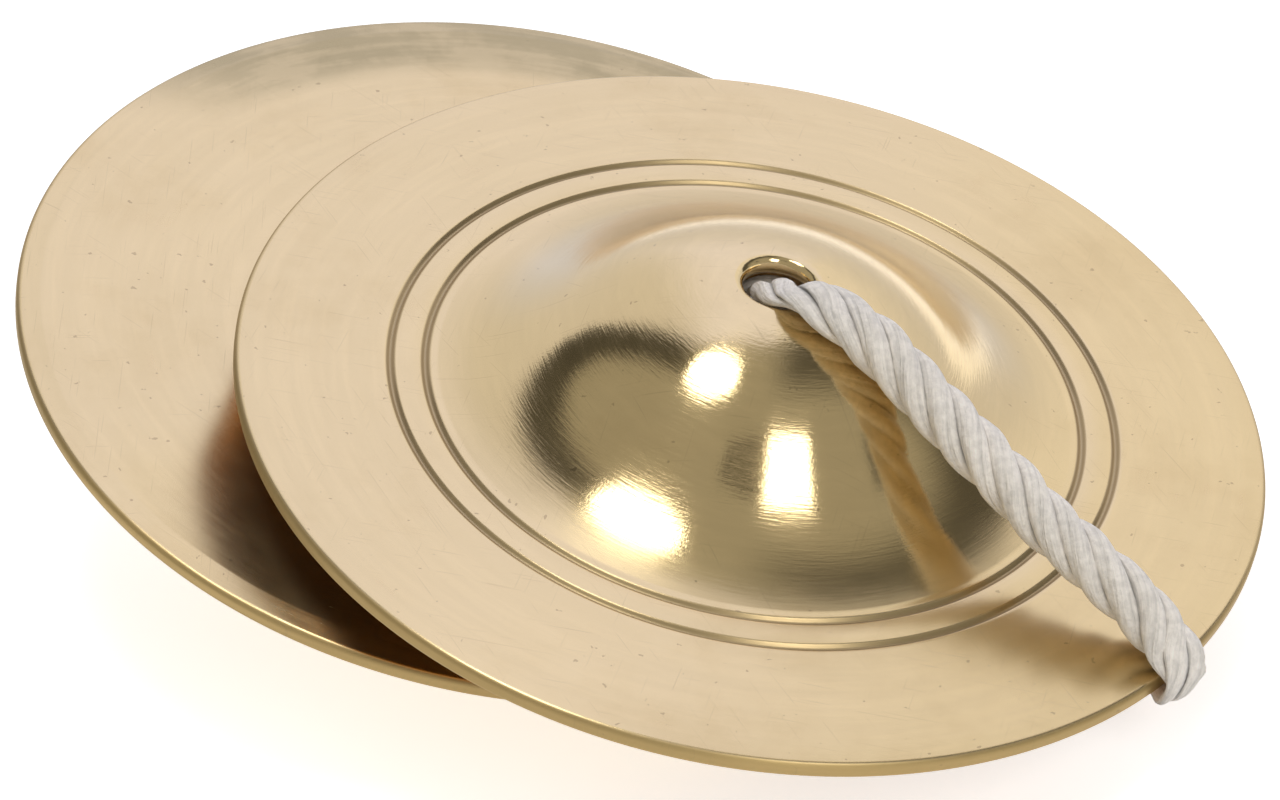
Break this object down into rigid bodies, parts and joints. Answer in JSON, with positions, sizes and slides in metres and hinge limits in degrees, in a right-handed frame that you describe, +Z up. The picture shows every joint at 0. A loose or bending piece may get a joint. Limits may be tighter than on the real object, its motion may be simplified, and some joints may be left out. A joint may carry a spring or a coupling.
{
  "type": "manjira hand cymbals",
  "caption": "Small turned brass hand cymbals tied together by a twisted white cord, resting one over the other with the upper boss uppermost.",
  "frame": {"origin": "on the table, straight below the lowest point of the lower cymbal's boss", "axes": "+Z up from the table; +X to the right and +Y away as seen in the picture, +X along the longer side of the two cymbals"},
  "size_m": [0.0901, 0.0863, 0.0311],
  "materials": {
    "upper_brass": "satin turned, brighter on the boss",
    "lower_brass": "satin turned, finely scratched",
    "white_cord": "laid cotton cord"
  },
  "bodies": {
    "cord_base": {"cord_between_and_under": "white_cord", "lower_knot": "white_cord"},
    "lower": {"lower_cymbal": "lower_brass"},
    "lid": {"cord_over_upper": "white_cord", "upper_knot": "white_cord"},
    "upper": {"upper_cymbal": "upper_brass"}
  },
  "joints": [
    {"name": "lower_spin", "type": "hinge", "parent": "cord_base", "child": "lower", "pos_m": [-0.00241, 0.00175, 0.01513], "axis": [0.2316, -0.1683, 0.9581], "continuous": true},
    {"name": "opening", "type": "hinge", "parent": "cord_base", "child": "lid", "pos_m": [0.04423, -0.03827, 0.00619], "axis": [0.6763, 0.736, -0.0301], "range_deg": [0, 75]},
    {"name": "upper_spin", "type": "hinge", "parent": "lid", "child": "upper", "pos_m": [0.01475, -0.01072, 0.0175], "axis": [0.2058, -0.1495, 0.9671], "continuous": true}
  ]
}
